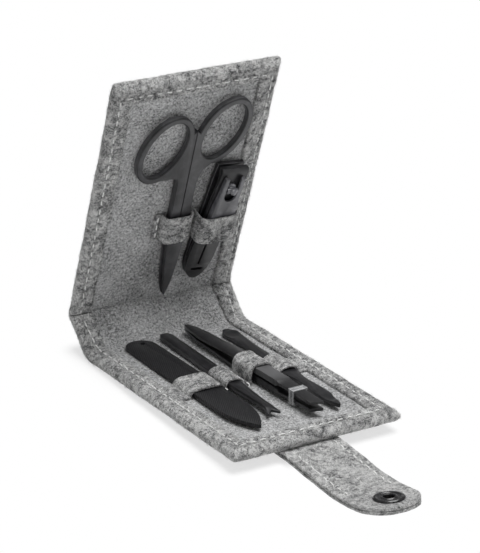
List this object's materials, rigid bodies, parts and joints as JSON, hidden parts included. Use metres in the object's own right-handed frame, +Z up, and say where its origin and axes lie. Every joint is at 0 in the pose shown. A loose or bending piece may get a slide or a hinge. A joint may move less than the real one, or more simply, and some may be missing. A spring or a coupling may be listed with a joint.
{
  "type": "manicure set case",
  "caption": "Folding felt case standing open, with scissors and clipper in loops on its back, four slim tools in a loop band, and a snap strap.",
  "frame": {"origin": "middle of the bounding box, on the surface the case stands on", "axes": "+X across the case along its folds, +Y from the strap to the back panel, +Z up"},
  "size_m": [0.072, 0.1805, 0.1169],
  "materials": {
    "outer_felt": "pressed melange felt, salt and pepper grey, slightly fuzzy",
    "loop_felt": "same felt, thinner, cut edges",
    "lining": "smooth microfibre suede with fine speckle",
    "board": "grey-brown fibre board, hidden in the panels",
    "snap_metal": "black lacquered brass",
    "black_steel": "satin black coated steel",
    "pin_steel": "polished black coated steel",
    "file_steel": "black coated steel, cross-cut abrasive towards the tip",
    "tool_black": "satin black coated steel",
    "clear_plastic": "clear flexible plastic"
  },
  "bodies": {
    "root": {"lower_cover": "outer_felt", "lower_board": "board", "lower_lining": "lining", "lower_loop_band": "loop_felt", "strap_root_upper_ply": "outer_felt", "strap_root_lower_ply": "outer_felt"},
    "spine": {"spine_cover": "outer_felt", "spine_board": "board", "spine_lining": "lining"},
    "back": {"back_cover": "outer_felt", "back_board": "board", "back_lining": "lining", "back_loop_band": "loop_felt", "snap_stud": "snap_metal", "snap_post": "snap_metal"},
    "strap_neck": {"strap_neck_upper_ply": "outer_felt", "strap_neck_lower_ply": "outer_felt"},
    "strap_tip": {"strap_tip_upper_ply": "outer_felt", "strap_tip_lower_ply": "outer_felt", "snap_socket": "snap_metal", "snap_cap": "snap_metal"},
    "scissors": {"scissors_right_half": "black_steel", "scissors_rivet": "pin_steel"},
    "scissors_left": {"scissors_left_half": "black_steel"},
    "clipper": {"clipper_lower_arm": "black_steel", "clipper_pin": "pin_steel"},
    "clipper_jaw": {"clipper_upper_arm": "black_steel"},
    "clipper_lever": {"clipper_lever": "black_steel"},
    "nail_file": {"nail_file": "file_steel"},
    "cuticle_trimmer": {"cuticle_trimmer": "tool_black"},
    "tweezers": {"tweezers_lower_arm": "black_steel"},
    "tweezers_upper": {"tweezers_upper_arm": "black_steel"},
    "tweezers_keeper": {"tweezers_keeper": "clear_plastic"},
    "cuticle_pusher": {"cuticle_pusher": "tool_black"}
  },
  "joints": [
    {"name": "spine_fold", "type": "hinge", "parent": "root", "child": "spine", "pos_m": [0, 0.07506, 0.00225], "axis": [-1, 0, 0], "range_deg": [-45, 45]},
    {"name": "back_fold", "type": "hinge", "parent": "spine", "child": "back", "pos_m": [0, 0.08812, 0.01434], "axis": [-1, 0, 0], "range_deg": [-22.5, 64]},
    {"name": "strap_fold", "type": "hinge", "parent": "root", "child": "strap_neck", "pos_m": [-0.003, -0.0336, 0.00292], "axis": [1, 0, 0], "range_deg": [-94.94, 40]},
    {"name": "strap_tip_fold", "type": "hinge", "parent": "strap_neck", "child": "strap_tip", "pos_m": [-0.003, -0.06656, 0.00135], "axis": [1, 0, 0], "range_deg": [-79.78, 40]},
    {"name": "scissors_slide", "type": "slide", "parent": "back", "child": "scissors", "axis": [-0.0166, -0.3038, 0.9526], "range_m": [0, 0.042]},
    {"name": "scissors_pivot", "type": "hinge", "parent": "scissors", "child": "scissors_left", "pos_m": [0.00255, 0.0745, 0.04853], "axis": [0.0003, -0.9527, -0.3038], "range_deg": [0, 6]},
    {"name": "clipper_slide", "type": "slide", "parent": "back", "child": "clipper", "axis": [0.1097, -0.312, 0.9437], "range_m": [0, 0.0012]},
    {"name": "clipper_squeeze", "type": "hinge", "parent": "clipper", "child": "clipper_jaw", "pos_m": [0.01553, 0.08137, 0.02664], "axis": [-0.994, -0.0317, 0.1051], "range_deg": [0, 1.2]},
    {"name": "clipper_lever_swivel", "type": "hinge", "parent": "clipper_jaw", "child": "clipper_lever", "pos_m": [0.02013, 0.06414, 0.06492], "axis": [-0.0029, -0.9495, -0.3136], "range_deg": [-1, 1]},
    {"name": "file_slide", "type": "slide", "parent": "root", "child": "nail_file", "axis": [-0.0122, -0.9984, 0.0544], "range_m": [0, 0.055]},
    {"name": "trimmer_slide", "type": "slide", "parent": "root", "child": "cuticle_trimmer", "axis": [-0.0419, -0.9976, 0.0557], "range_m": [0, 0.055]},
    {"name": "tweezers_slide", "type": "slide", "parent": "root", "child": "tweezers", "axis": [0.0035, -0.9985, 0.0545], "range_m": [0, 0.055]},
    {"name": "tweezers_squeeze", "type": "hinge", "parent": "tweezers", "child": "tweezers_upper", "pos_m": [0.00721, 0.07026, 0.00652], "axis": [1, 0.0035, -0.0001], "range_deg": [0, 0.7]},
    {"name": "keeper_slide", "type": "slide", "parent": "tweezers", "child": "tweezers_keeper", "axis": [0.0035, -0.9985, 0.0545], "range_m": [0, 0.016]},
    {"name": "pusher_slide", "type": "slide", "parent": "root", "child": "cuticle_pusher", "axis": [-0.0366, -0.9978, 0.056], "range_m": [0, 0.046]}
  ]
}
